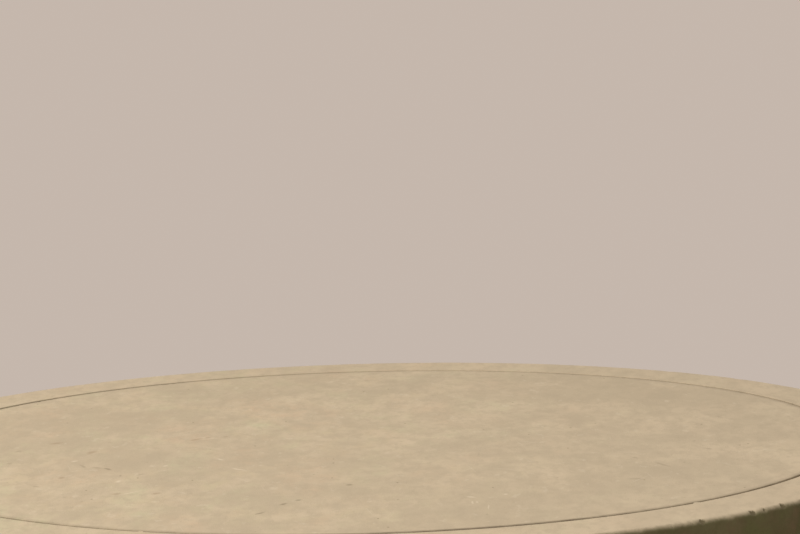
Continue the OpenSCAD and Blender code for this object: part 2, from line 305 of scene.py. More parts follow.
nylon_black = black_nylon()
socket_r = 0.0061
socket_edge = 0.0006
neck_r = 0.0140
neck_edge = 0.0020
pad_rim_z = 0.0060
pad_rim_edge = 0.0016
foot_edge = 0.0004
recess_z = 0.0030
recess_wall = 0.0019
rib_count = 12
rib_h = 0.0006
rib_steepness = 3.0
rib_gap = 1.6
pad_angles = even_angles(144)
rib_shape = np.clip(np.cos(rib_count * pad_angles) * rib_steepness - rib_gap, 0, 1)
for number in foot_numbers:
    pad_lo, pad_hi, foot_centre = foot_box(f"foot_pad_{number}")
    stem_lo, stem_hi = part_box(f"foot_stem_{number}")
    pad_r = (pad_hi.x - pad_lo.x) / 2
    recess_r = pad_r - recess_wall
    pad_rows = outline_with_arcs(
        [
            (socket_r, stem_lo.z), (socket_r, pad_hi.z), (neck_r, pad_hi.z), (pad_r, pad_rim_z),
            (pad_r, pad_lo.z), (recess_r, pad_lo.z), (recess_r, recess_z), (0, recess_z), (0, stem_lo.z),
        ],
        [0, socket_edge, neck_edge, pad_rim_edge, foot_edge, 0, 0, 0, 0],
    )
    slope = np.clip((pad_rows[:, 0] - neck_r) / (pad_r - neck_r), 0, 1)
    on_slope = np.where(pad_rows[:, 1] > pad_rim_z, 4 * slope * (1 - slope), 0)
    ribbed = pad_rows[:, 1:] + rib_h * on_slope[:, None] * rib_shape
    pad = turned_piece(f"pad_{number}", pad_rows[:, :1], ribbed, pad_angles, foot_centre)
    pad.data.materials.append(nylon_black)
    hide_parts(f"foot_pad_{number}")
    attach(pad, f"foot_{number}")


# Threaded stems, lock nuts and inserts
# The stems are rolled from zinc-plated steel bar, with a spanner collar swaged on above the pad.
# The nuts lock them under the flanged inserts, which are hammered and glued into the base ring.

def random_cells(place, scale):
    """Cells, about scale in a metre: the Distance from a cell's core and a random Color for each cell."""
    return add_node(place.id_data, "TexVoronoi", {"Vector": place, "Scale": scale}).outputs


def red_of(colour):
    """The red part of a colour."""
    return add_node(colour.id_data, "SeparateColor", {0: colour}).outputs["Red"]


def zinc_steel():
    """Zinc plate on steel: dull silver in small patches, each a cell of its own shade, duller in places."""
    material, place = new_finish("zinc_steel", metallic=1.0)
    dark_silver, silver, dulled = (0.42, 0.43, 0.44), (0.58, 0.585, 0.58), (0.36, 0.34, 0.30)
    patch = red_of(random_cells(place, 260.0)["Color"])
    dull = noise(place, 160, detail=4)
    colour = blend(blend(dark_silver, silver, patch), dulled, between(dull, 0.5, 0.8))
    roughness = between(sums("ADD", patch, dull), -1.2, 3.4)
    return feed(material, colour, roughness, dull, depth=0.00006)


def hexagon_radius(angles, across_flats):
    """A hexagon's side from its centre: half its width over the cosine of the angle off a flat."""
    off_flat = np.mod(angles, math.pi / 3) - math.pi / 6
    return across_flats / 2 / np.cos(off_flat)


zinc = zinc_steel()
stem_r = 0.006
thread_pitch = 0.00175
thread_depth = 0.00095
thread_flank = 2.5
thread_root = 0.15
rows_a_thread = 6
collar_h = 0.008
collar_af = 0.017
collar_bevel = 0.0008
collar_bevel_share = 1.02
stem_angles = even_angles(24)
collar_angles = even_angles(72)
flats = hexagon_radius(collar_angles, collar_af)
bevelled = np.minimum(flats, collar_af / 2 * collar_bevel_share)
for number in foot_numbers:
    pad_lo, pad_hi, foot_centre = foot_box(f"foot_pad_{number}")
    stem_lo, stem_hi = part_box(f"foot_stem_{number}")
    foot_turn = math.atan2(foot_centre[1], foot_centre[0])
    row_count = round((stem_hi.z - stem_lo.z) / thread_pitch * rows_a_thread)
    stem_z = np.linspace(stem_hi.z, stem_lo.z, row_count)[:, None]
    turns_up = stem_z / thread_pitch - stem_angles / (2 * math.pi)
    crest = np.clip(np.abs(np.mod(turns_up, 1) - 0.5) * thread_flank - thread_root, 0, 1)
    lead_in = np.clip((stem_z - stem_hi.z) / thread_pitch + 1, 0, 1) * thread_depth
    threaded = stem_r - np.maximum(thread_depth * (1 - crest), lead_in)
    pole = np.zeros((1, len(stem_angles)))
    stem = turned_piece(
        f"stem_{number}",
        np.vstack([pole, threaded, pole]),
        np.vstack([stem_z[:1], stem_z, stem_z[-1:]]),
        stem_angles,
        foot_centre,
        loop=False,
    )
    collar_rows = np.array([collar_h, collar_h, collar_h - collar_bevel, collar_bevel, 0, 0])
    collar = turned_piece(
        f"collar_{number}",
        np.vstack([0 * flats, bevelled, flats, flats, bevelled, 0 * flats]),
        pad_hi.z + collar_rows[:, None],
        collar_angles + foot_turn,
        foot_centre,
        loop=False,
    )
    for piece in (stem, collar):
        piece.data.materials.append(zinc)
        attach(piece, f"foot_{number}")
    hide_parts(f"foot_stem_{number}")


def dress(names, material):
    """Gives the carried-over pieces their finish."""
    for name in names:
        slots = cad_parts[name].data.materials
        slots.clear()
        slots.append(material)


dress(["foot_lock_nuts", "foot_inserts"], zinc)


# Toe ring
# A ring of bent plywood, screwed under the base ring and set back from the skin so that toes don't kick it.
# It is rolled with black matt paint, which shoes and mops have scuffed grey along its lower half.

def uneven(angles, waves, seed):
    """An uneven line round the circle, from -1 to 1: cosines with each number of waves in a turn, each with
    its own phase, weighed down as they get finer.
    """
    waves = np.asarray(waves)
    phase = np.random.default_rng(seed).uniform(0, 2 * math.pi, len(waves))
    weight = 1 / np.sqrt(waves)
    line = (weight[:, None] * np.cos(waves[:, None] * angles + phase[:, None])).sum(0)
    return line / weight.sum()


def roller_paint_group():
    """Rolled paint: the stipple that a roller leaves, soft blotches where coats overlap, and hairline rubs.

    Rubs are noise drawn out along three directions and cut to its thinnest peaks, kept only in some places.
    """
    outputs = {"Blotch": "Float", "Stipple": "Float", "Rub": "Float"}
    group, given = new_group("roller_paint", {"Vector": "Vector", "Blotches": "Float"}, outputs)
    place = given["Vector"]
    rub = 0.0
    for turn, offset in ((0.35, 0.0), (1.2, 3.1), (2.45, 7.7)):
        turned = mapped(place, Rotation=(0.0, 0.0, turn), Location=(offset, 0.0, offset))
        drawn = noise(turned, (14.0, 620.0, 620.0), detail=1.5)
        rub = sums("MAXIMUM", rub, between(drawn, 0.71, 0.78))
    return put_out(
        group,
        Blotch=noise(place, given["Blotches"], detail=5, roughness=0.62),
        Stipple=noise(place, 620, detail=2.5, roughness=0.6),
        Rub=times(rub, between(noise(place, 11, detail=2), 0.5, 0.66)),
    )


roller_paint = roller_paint_group()


def unrolled(place, radius):
    """A round wall laid flat: the angle round the axis times the radius, and the height."""
    parts = add_node(place.id_data, "SeparateXYZ", {0: place}).outputs
    along = times(sums("ARCTAN2", parts["Y"], parts["X"]), radius)
    return add_node(place.id_data, "CombineXYZ", {"X": along, "Y": parts["Z"]}).outputs[0]


def black_toe_paint(radius, low, high):
    """Black matt paint, scuffed pale grey in level strokes that fade out towards the top of the ring."""
    material, place = new_finish("black_toe_paint", specular=0.3)
    black, thin_black, scuff_grey = (0.010, 0.010, 0.0095), (0.021, 0.020, 0.019), (0.17, 0.16, 0.145)
    wall = unrolled(place, radius)
    coat = use_group(roller_paint, wall, Blotches=14.0)
    lower = between(part_of(place, "Z"), high, low)
    strokes = between(noise(wall, (9.0, 240.0, 1.0), detail=4), 0.56, 0.74)
    colour = blend(black, thin_black, coat["Blotch"])
    colour = blend(colour, scuff_grey, times(strokes, lower), strength=0.5)
    colour = dusted(place, colour, amount=0.5, scale=40)
    return feed(material, colour, between(coat["Blotch"], -2.0, 1.4), coat["Stipple"], depth=0.00025)


toe_lo, toe_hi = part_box("toe_ring")
toe_r = toe_hi.x
toe_wall = 0.018
toe_edge = 0.0012
toe_bow = 0.0003
toe_rows = ring_outline(toe_r - toe_wall, toe_r, toe_lo.z, toe_hi.z, [toe_edge, 0, 0, toe_edge])
toe_angles = even_angles(480)
toe_sag = toe_bow * (uneven(toe_angles, [3, 5, 8, 13], seed=11) - 1) / 2
toe = turned_piece("toe_board", toe_rows[:, :1] + toe_sag, toe_rows[:, 1:], toe_angles)
toe.data.materials.append(black_toe_paint(toe_r, toe_lo.z, toe_hi.z))
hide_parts("toe_ring")
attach(toe, "drum")


# Plywood rings and boards
# The base ring, the ring half way up, the top board and the rim's packing ring are sawn from birch plywood.
# Their faces are bare and sanded. Their sawn edges show the veneers, pale and brown by turns.

def birch_plywood(veneer_t):
    """Birch plywood: long pale figure on its faces, and on its edges veneers of thickness veneer_t.

    A veneer is pale or brown as the height goes to and fro between two veneers, and noise makes it waver.
    """
    material, place = new_finish("birch_plywood", specular=0.35)
    birch_pale, birch_brown, birch_flame = (0.62, 0.44, 0.25), (0.50, 0.33, 0.17), (0.66, 0.49, 0.30)
    veneer_pale, veneer_brown, pore_dark = (0.56, 0.40, 0.23), (0.25, 0.15, 0.075), (0.16, 0.10, 0.05)
    figure = noise(place, (5.0, 70.0, 70.0), detail=6)
    flame = noise(place, (2.2, 9.0, 9.0))
    pores = noise(place, (420.0, 420.0, 900.0), detail=4)
    face = blend(birch_pale, birch_brown, between(figure, 0.3, 0.7))
    face = blend(face, birch_flame, between(flame, 0.45, 0.75))
    veneers_up = sums("DIVIDE", part_of(place, "Z"), 2 * veneer_t)
    layer = sums("ADD", veneers_up, times(noise(place, 18, detail=2), 0.35))
    across = between(sums("PINGPONG", layer, 0.5), 0.18, 0.32)
    edge = blend(veneer_pale, veneer_brown, across)
    edge = blend(edge, pore_dark, between(pores, 0.55, 0.75))
    normal = add_node(material.node_tree, "NewGeometry").outputs["Normal"]
    on_face = between(sums("ABSOLUTE", part_of(normal, "Z")), 0.6, 0.8)
    colour = dusted(place, blend(edge, face, on_face), amount=0.35, scale=30)
    height = sums("ADD", times(figure, 0.4), pores)
    return feed(material, colour, between(pores, -1.6, 1.5), height, depth=0.00012)


dress(["base_ring", "mid_ring", "top_board", "rim_spacer"], birch_plywood(veneer_t=0.0014))


# Softwood uprights and joists
# Planed pine: the uprights stand on the base ring with one face cut to the drum's curve, and the two
# joists cross under the top board in a half lap. The grain runs along each length.

surface_outputs = {"Color": "Color", "Roughness": "Float", "Height": "Float"}


def length_of(vector):
    """How long a vector is."""
    return add_node(vector.id_data, "VectorMath", {0: vector}, operation="LENGTH").outputs["Value"]


def planed_pine_group():
    """Pine with its grain along Z: growth rings round an axis off to one side, fine fibre, and a few knots.

    A ring is a step in the distance from that axis, pushed about by slow noise. A knot is a cell's core.
    """
    group, given = new_group("planed_pine", {"Vector": "Vector"}, surface_outputs)
    early_wood, late_wood = (0.72, 0.52, 0.29), (0.52, 0.31, 0.13)
    fibre_brown, knot_brown = (0.60, 0.40, 0.20), (0.17, 0.085, 0.035)
    rings_a_metre = 260.0
    place = given["Vector"]
    rings = times(length_of(mapped(place, Scale=(1.0, 1.0, 0.02))), rings_a_metre)
    slow = times(noise(place, (9.0, 9.0, 1.1), detail=2), 9.0)
    late = between(sums("FRACT", sums("ADD", rings, slow)), 0.35, 0.97)
    fibre = noise(place, (700.0, 700.0, 9.0), detail=4)
    from_knot = random_cells(mapped(place, Scale=(14.0, 14.0, 3.2)), 1.0)["Distance"]
    colour = blend(early_wood, late_wood, late)
    colour = blend(colour, fibre_brown, between(fibre, 0.4, 0.8))
    colour = blend(colour, knot_brown, between(from_knot, 0.17, 0.07))
    height = sums("ADD", fibre, times(late, 0.5))
    return put_out(group, Color=colour, Roughness=between(late, -2.2, 2.4), Height=height)


planed_pine = planed_pine_group()


def pine_along(name, turn):
    """Planed pine whose grain is turned from Z to the length of the piece."""
    material, place = new_finish(name, specular=0.35)
    wood = use_group(planed_pine, mapped(place, Rotation=turn))
    colour = dusted(place, wood["Color"], amount=0.3, scale=35)
    return feed(material, colour, wood["Roughness"], wood["Height"], depth=0.00015)


quarter_turn = math.pi / 2
upright_names = [f"stud_{number}" for number in range(1, 9)]
dress(upright_names, pine_along("pine_upright", (0.0, 0.0, 0.0)))
dress(["joist_x"], pine_along("pine_joist_x", (0.0, quarter_turn, 0.0)))
dress(["joist_y"], pine_along("pine_joist_y", (quarter_turn, 0.0, 0.0)))


# Ball bearing
# Two flat races of extruded aluminium, rolled round and turned, run on steel balls that a nylon cage spaces
# out. The lower race is screwed to the top board and the upper one to the deck.

def turned_aluminium():
    """Aluminium with the fine rings of a lathe tool: noise read along the distance from the axis alone."""
    material, place = new_finish("turned_aluminium", metallic=1.0)
    dull_aluminium, bright_aluminium = (0.56, 0.57, 0.58), (0.70, 0.71, 0.715)
    along = {"X": length_of(mapped(place, Scale=(1.0, 1.0, 0.0))), "Y": part_of(place, "Z")}
    rings = noise(add_node(material.node_tree, "CombineXYZ", along).outputs[0], 2600)
    smear = noise(place, 35, detail=5)
    roughness = between(sums("ADD", rings, smear), -1.0, 3.6)
    return feed(material, blend(dull_aluminium, bright_aluminium, smear), roughness, rings, depth=0.00003)


def polished_balls():
    """Polished steel under a thin uneven film of grease."""
    material, place = new_finish("polished_balls", metallic=1.0)
    polished, greasy = (0.62, 0.63, 0.64), (0.44, 0.40, 0.32)
    film = noise(place, 420)
    colour = blend(polished, greasy, between(film, 0.45, 0.8))
    return feed(material, colour, between(film, 0.1, 3.0), film, depth=0.00001)


def white_nylon():
    """Natural nylon: off-white, a little yellowed, faintly mottled by the mould."""
    material, place = new_finish("white_nylon", specular=0.45)
    off_white, yellowed = (0.74, 0.71, 0.62), (0.66, 0.61, 0.49)
    grain = noise(place, 1800, detail=1)
    colour = blend(off_white, yellowed, noise(place, 60, detail=4))
    return feed(material, colour, between(grain, -1.4, 2.2), grain, depth=0.00005)


dress(["bearing_fixed_race", "bearing_turning_race"], turned_aluminium())
dress(["bearing_balls"], polished_balls())
dress(["bearing_cage"], white_nylon())


# Screws
# Countersunk wood screws of zinc-plated steel.
# They are sunk just below the surface in every joint of the frame.

screw_names = [
    "fixed_race_screws", "turning_race_screws", "board_screws", "joist_screws", "rim_screws", "base_screws",
    "toe_screws",
]
dress(screw_names, zinc)


# Skin of the drum
# Two half rounds of thin bending plywood are glued and clamped round the frame and meet at the sides. They
# are filled, sanded and rolled with dark olive paint outside, and bare inside. Trolleys and feet have
# knocked the lower edge and scuffed the paint above it.

olive = (0.126, 0.105, 0.045)
olive_worn = (0.177, 0.158, 0.080)
olive_deep = (0.093, 0.079, 0.031)
olive_brown = (0.134, 0.092, 0.046)
olive_green = (0.109, 0.108, 0.037)
olive_rub = (0.33, 0.29, 0.20)
scrape_pale = (0.36, 0.31, 0.22)
heel_black = (0.022, 0.020, 0.017)
scuff_dark = (0.050, 0.043, 0.030)
nicked_wood = (0.36, 0.26, 0.15)
skin_wood = (0.55, 0.38, 0.21)
skin_wood_grain = (0.396, 0.2736, 0.1512)


def vectors(operation, first, second):
    """The result of a sum on two vectors."""
    return add_node(first.id_data, "VectorMath", {0: first, 1: second}, operation=operation).outputs[0]


def stroke_group():
    """One straight scratch or scuff: full inside an ellipse of that length and width, turned by that angle
    about its centre, and fading out at its edge.
    """
    inputs = {"Vector": "Vector", "Centre": "Vector", "Angle": "Float", "Size": "Vector"}
    group, given = new_group("stroke", inputs, {"Share": "Float"})
    turn = {"Vector": vectors("SUBTRACT", given["Vector"], given["Centre"]), "Angle": given["Angle"]}
    turned = add_node(group, "VectorRotate", turn, rotation_type="Z_AXIS", invert=True).outputs[0]
    distance = length_of(vectors("DIVIDE", turned, given["Size"]))
    return put_out(group, Share=between(distance, 1.0, 0.2))


stroke = stroke_group()


def laid_strokes(place, strokes, third=0.0):
    """The share of all these strokes together, with edges that noise pushes about by up to two millimetres.
    A stroke is its centre's two coordinates, its angle in degrees, its length and its width.
    """
    waver = 0.004
    values = {"Vector": place, "Scale": 90.0, "Detail": 2.0}
    push = vectors("SUBTRACT", add_node(place.id_data, "TexNoise", values).outputs["Color"], (0.5,) * 3)
    pushed = vectors("ADD", place, vectors("MULTIPLY", push, (waver,) * 3))
    mask = 0.0
    for x, y, angle, length, width in strokes:
        size = (length / 2, width / 2, 1.0)
        one = use_group(stroke, pushed, Centre=(x, y, third), Angle=math.radians(angle), Size=size)
        mask = sums("MAXIMUM", mask, one["Share"])
    return mask


def layered(colour, layers):
    """The colour with each layer laid on it in turn. A layer is its colour, its share and its strength."""
    for laid, share, strength in layers:
        colour = blend(colour, laid, share, strength)
    return colour


def olive_paint_group(radius, heel_marks, scrapes):
    """Dark olive paint on a round wall: upright roller bands and lap lines, green and brown blotches, pale
    rubs and scrapes, dark heel marks, small nicks down to the wood, and scuffs near the foot of the drum.

    A roller band is noise drawn out upwards. A lap line starts sharply at each width of the roller, which
    slow noise makes uneven, and fades out to one side. Scuffs are noise drawn out level, kept under the
    scuff height. A nick is a cell's core, kept for the few cells whose random value is high.
    """
    group, given = new_group("olive_paint", {"Vector": "Vector"}, surface_outputs)
    roller_w = 0.19
    scuff_low, scuff_top = 0.05, 0.30
    nick_rarity, more_when_low = 0.975, 0.10
    place = given["Vector"]
    wall = unrolled(place, radius)
    coat = use_group(roller_paint, wall, Blotches=9.0)
    band = noise(wall, (15.0, 1.3, 1.0), detail=4)
    widths = sums("DIVIDE", part_of(wall, "X"), roller_w)
    passes = sums("ADD", widths, noise(wall, (5.0, 2.2, 1.0)))
    lap = between(sums("FRACT", passes), 0.22, 0.0)
    lap_here = between(noise(wall, 6, detail=4), 0.40, 0.62)
    tint = noise(wall, 38, detail=5, roughness=0.65)
    mottle = noise(wall, 110, detail=4, roughness=0.7)
    broken = between(noise(wall, 240, detail=4, roughness=0.7), 0.36, 0.60)
    low = between(part_of(place, "Z"), scuff_top, scuff_low)
    scuffs = between(noise(wall, (7.0, 150.0, 1.0), detail=5), 0.57, 0.74)
    cells = random_cells(wall, 38.0)
    rarity = sums("SUBTRACT", nick_rarity, times(low, more_when_low))
    ragged = sums("ADD", cells["Distance"], times(noise(wall, 480), 0.10))
    nick = times(sums("GREATER_THAN", red_of(cells["Color"]), rarity), between(ragged, 0.13, 0.10))
    colour = layered(olive_deep, [
        (olive, between(band, 0.3, 0.7), 1.0),
        (olive_deep, times(lap, lap_here), 0.65),
        (olive_brown, between(tint, 0.50, 0.66), 0.75),
        (olive_green, between(tint, 0.50, 0.34), 0.75),
        (olive_worn, between(coat["Blotch"], 0.42, 0.68), 0.40),
        (olive_deep, between(mottle, 0.42, 0.68), 0.45),
        (olive_rub, coat["Rub"], 0.6),
        (scrape_pale, times(laid_strokes(wall, scrapes), broken), 0.7),
        (heel_black, times(laid_strokes(wall, heel_marks), broken), 0.75),
        (scuff_dark, times(scuffs, low), 0.65),
        (nicked_wood, nick, 0.85),
    ])
    roughness = between(coat["Blotch"], -1.1, 1.4)
    return put_out(group, Color=colour, Roughness=roughness, Height=sums("SUBTRACT", coat["Stipple"], nick))


def mesh_mask(place, name):
    """A mask that the mesh carries under that name, in the tree of the place."""
    return add_node(place.id_data, "Attribute", attribute_name=name).outputs["Fac"]


def frayed(place, name, scale, reach, detail=4, roughness=0.55):
    """The mesh's mask of that name, its edge pushed about by noise, by up to half of reach either way."""
    push = sums("SUBTRACT", noise(place, scale, detail, roughness), 0.5)
    return sums("ADD", mesh_mask(place, name), times(push, reach))


def olive_skin(radius):
    """The olive paint outside, bare plywood inside and in the knocks, and dust on whatever faces up."""
    material, place = new_finish("olive_skin", specular=0.35)
    paint = use_group(olive_paint, place)
    grain = noise(unrolled(place, radius), (90.0, 5.0, 1.0), detail=6)
    bare = blend(skin_wood, skin_wood_grain, between(grain, 0.3, 0.7))
    colour = blend(bare, paint["Color"], between(mesh_mask(place, "outside"), 0.45, 0.55))
    colour = blend(colour, bare, between(frayed(place, "knock", 260, reach=0.8), 0.30, 0.55))
    colour = dusted(place, colour, amount=0.4, scale=25)
    return feed(material, colour, paint["Roughness"], paint["Height"], depth=0.00028)


def bell(distance, width):
    """1 at no distance, falling off either way: e to the minus square of distance over width."""
    return np.exp(-((distance / width) ** 2))


def profile_rows(radius, height):
    """Rows of a profile, each its radius and its height. Either may be one value for all rows."""
    return np.column_stack(np.broadcast_arrays(radius, height))


def knocks(angles, radius, spots, length, depth):
    """How deep the deepest knock bites at each angle: a parabola at each of the spots. A spot is its angle,
    and its shares of the full depth and of the full length.
    """
    spot_angles, deep, long = np.array(spots).T
    away = np.angle(np.exp(1j * (angles[:, None] - spot_angles)))
    inside = np.clip(1 - (away * radius / (long * length / 2)) ** 2, 0, None)
    return (deep * depth * inside).max(1)


def random_rows(rng, count, ranges):
    """That many rows of random values, one value from each of the ranges."""
    return [[rng.uniform(*limits) for limits in ranges] for _ in range(count)]


def random_spots(rng, count, least):
    """That many spots anywhere round the circle, from least of the full depth and length to all of it."""
    return random_rows(rng, count, [(0, 2 * math.pi), (least, 1.0), (least, 1.0)])


skin_lo, skin_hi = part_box("skin_front")
skin_r = (skin_hi.x - skin_lo.x) / 2
seam_margin = 0.06
half_round = math.pi * skin_r - seam_margin
mark_rng = np.random.default_rng(70)
# The ranges are those of a stroke: its place round the wall, height, tilt, length and width
heel_ranges = [(-half_round, half_round), (0.065, 0.19), (-24, 24), (0.018, 0.060), (0.003, 0.007)]
scrape_ranges = [(-half_round, half_round), (0.25, 0.80), (-38, 38), (0.030, 0.110), (0.0012, 0.0026)]
heel_marks = random_rows(mark_rng, 15, heel_ranges)
scrapes = random_rows(mark_rng, 11, scrape_ranges)
olive_paint = olive_paint_group(skin_r, heel_marks, scrapes)
skin_finish = olive_skin(skin_r)
skin_wall = 0.008
seam_gap = 0.0006
skin_edge = 0.0008
skin_bow = 0.00035
end_ease = 0.0004
end_ease_w = 0.0025
knock_depth = 0.0016
knock_length = 0.016
knock_reach = 0.0030
knock_lift = 0.5
knock_ragged = 0.3
ragged_waves = [170, 233, 310, 401]
row_margin = 0.004
inner_r = skin_r - skin_wall
half_gap = math.asin(seam_gap / 2 / skin_r)
foot_rows = skin_lo.z + np.array([0.020, 0.009, 0.005, 0.0025])
upper_rows = np.linspace(skin_hi.z - row_margin, foot_rows[0], 8)
wall_rows = profile_rows(skin_r, np.concatenate([upper_rows, foot_rows[1:]]))
skin_outline = ring_outline(inner_r, skin_r, skin_lo.z, skin_hi.z, [0, 0, skin_edge, skin_edge])
upper_corner_end = 8
skin_rows = np.vstack([skin_outline[:upper_corner_end], wall_rows, skin_outline[upper_corner_end:]])
outside = (skin_rows[:, :1] > inner_r + skin_wall / 2).astype(float)
on_foot_edge = bell(skin_rows[:, 1:] - skin_lo.z, knock_reach) * outside
foot_knocks = random_spots(np.random.default_rng(52), 44, least=0.25)
for skin_name, first_angle in (("skin_front", math.pi), ("skin_rear", 0.0)):
    skin_angles = first_angle + np.linspace(half_gap, math.pi - half_gap, 1101)
    bow = skin_bow * (uneven(skin_angles, [4, 8, 9, 15, 22], seed=23) - 1) / 2
    near_end = np.minimum(skin_angles - skin_angles[0], skin_angles[-1] - skin_angles) * skin_r
    eased_end = end_ease * bell(near_end, end_ease_w)
    knock = knocks(skin_angles, skin_r, foot_knocks, knock_length, knock_depth)
    knock *= 1 + knock_ragged * uneven(skin_angles, ragged_waves, seed=6)
    skin = turned_piece(
        f"{skin_name}_panel",
        skin_rows[:, :1] + outside * (bow - eased_end) - on_foot_edge * knock,
        skin_rows[:, 1:] + knock_lift * on_foot_edge * knock,
        skin_angles,
        whole_turn=False,
        masks={"outside": outside, "knock": on_foot_edge * knock / knock_depth},
    )
    skin.data.materials.append(skin_finish)
    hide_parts(skin_name)
    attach(skin, "drum")


# Camera
# It stands at the place, height and tilt that the two circles of the top give, with the picture's slight
# lean. The chips, specks and scratches that the photograph shows are placed through it.

picture_w, picture_h = 800, 534
focal_px = 3609.5
sensor_w = 36.0
camera_place = (0.0392, -3.2667, 1.4504)
camera_dip = 0.1188
camera_lean = -0.0264
camera_data = bpy.data.cameras.new("camera")
camera_data.sensor_fit = "HORIZONTAL"
camera_data.sensor_width = sensor_w
camera_data.lens = focal_px * sensor_w / picture_w
camera_data.clip_end = 200.0
camera = bpy.data.objects.new("camera", camera_data)
camera_turn = Matrix.Rotation(math.pi / 2 - camera_dip, 4, "X") @ Matrix.Rotation(camera_lean, 4, "Z")
camera.matrix_world = Matrix.Translation(camera_place) @ camera_turn
bpy.context.scene.collection.objects.link(camera)
bpy.context.scene.camera = camera


def seen_at(pixel, height):
    """The point at that height that the photograph shows at a pixel: its ray, followed to that level."""
    ray = np.array([pixel[0] - picture_w / 2, picture_h / 2 - pixel[1], -focal_px])
    ray = np.array(camera_turn.to_3x3()) @ ray
    return np.array(camera_place) + ray * (height - camera_place[2]) / ray[2]


def angle_seen(pixel, height):
    """The angle round the axis of the point at that height which the photograph shows at a pixel."""
    x, y, _ = seen_at(pixel, height)
    return math.atan2(y, x)


# Fixed rim
# A ring sawn from thick board and screwed up through the packing ring, so no fixing shows on top. Its top
# is rolled cream and its edge dark like the skin, the cream fading into the olive across the whole rounded
# edge, a soft paint edge that also serves as painted shade there. The rounded edge has been knocked and
# chipped, two specks of dried paint stand out from its inner edge into the joint, and the joint is darkened
# by dirt and painted shade.

cream = (0.575, 0.462, 0.318)
cream_warm = (0.570, 0.426, 0.284)
cream_green = (0.530, 0.468, 0.300)
cream_dull = (0.455, 0.368, 0.252)
cream_fleck = (0.68, 0.58, 0.43)
cream_rub = (0.70, 0.60, 0.45)
cream_soiled = (0.30, 0.235, 0.150)
speck_brown = (0.16, 0.115, 0.065)
undercoat = (0.135, 0.108, 0.056)
# The brown that darkens the joints, partly as dirt and partly as painted shade
joint_dirt_shade_brown = (0.16, 0.12, 0.075)


def cream_paint_group():
    """Cream emulsion, rolled on from front to back and gone uneven with age: wide clouds, blotches a finger
    wide, warm and green tints that fade towards the right, small dark specks and pale rubs.

    Each kind is noise of its own scale, and all but the clouds are drawn out along the roller's way. A
    speck is a cell's core, kept for the few cells whose random value is high.
    """
    group, given = new_group("cream_paint", {"Vector": "Vector", "Wear": "Float"}, surface_outputs)
    wear = given["Wear"]
    half_worn = sums("ADD", times(wear, 0.5), 0.5)
    cloud = noise(given["Vector"], 7)
    evened = between(part_of(given["Vector"], "X"), -0.15, 0.30)
    place = mapped(given["Vector"], Scale=(1.30, 0.62, 1.0))
    coat = use_group(roller_paint, place, Blotches=46.0)
    tint = noise(place, 14, detail=5, roughness=0.5)
    patch = noise(place, 26, detail=4, roughness=0.62)
    trowelled = noise(place, 70, detail=5, roughness=0.7)
    fleck = noise(place, 75, detail=4, roughness=0.6)
    soiled = noise(place, 130, detail=4, roughness=0.65)
    cells = random_cells(place, 95.0)
    speck = times(between(red_of(cells["Color"]), 0.93, 0.95), between(cells["Distance"], 0.16, 0.06))
    rub = times(coat["Rub"], wear, 0.55)
    colour = layered(cream_warm, [
        (cream_green, between(tint, 0.30, 0.70), 1.0),
        (cream, between(coat["Blotch"], 0.30, 0.66), 1.0),
        (cream, evened, 0.75),
        (cream_dull, times(between(cloud, 0.38, 0.70), wear), 0.62),
        (cream_dull, times(between(patch, 0.36, 0.70), half_worn), 0.72),
        (cream_dull, between(trowelled, 0.44, 0.64), 0.55),
        (cream_fleck, times(between(fleck, 0.60, 0.72), wear), 0.25),
        (cream_soiled, times(between(soiled, 0.60, 0.78), wear), 0.34),
        (speck_brown, times(speck, wear), 0.5),
        (cream_rub, rub, 1.0),
    ])
    roughness = between(coat["Blotch"], -3.0, 1.35)
    height = sums("SUBTRACT", coat["Stipple"], times(rub, 0.5))
    return put_out(group, Color=colour, Roughness=roughness, Height=height)


cream_paint = cream_paint_group()
cream_relief = 0.00022


def with_joint_dirt_and_shade(place, colour):
    """The colour with the mesh's joint dirt and painted shade on it, broken up by soft noise."""
    broken = between(noise(place, 60), -0.2, 0.8)
    return blend(colour, joint_dirt_shade_brown, times(mesh_mask(place, "joint_dirt_and_shade"), broken))


def rim_paint():
    """Cream on top and olive on the edge, which fade into each other in a soft uneven band across the whole
    rounded corner, partly a paint edge and partly painted shade. Chips show the dark undercoat, and dirt
    and painted shade darken the joint.
    """
    material, place = new_finish("rim_paint", specular=0.3)
    top = use_group(cream_paint, place, Wear=0.35)
    edge = use_group(olive_paint, place)
    # The olive side paint fades in across the whole rounded corner, partly as painted shade
    side = frayed(place, "side_paint_and_shade", 120, reach=0.6, roughness=0.6)
    chip = frayed(place, "chip", 380, reach=1.5, detail=5, roughness=0.7)
    colour = blend(top["Color"], edge["Color"], between(side, 0.05, 0.95))
    colour = blend(colour, undercoat, between(chip, 0.30, 0.75))
    return feed(material, with_joint_dirt_and_shade(place, colour), top["Roughness"], top["Height"], cream_relief)


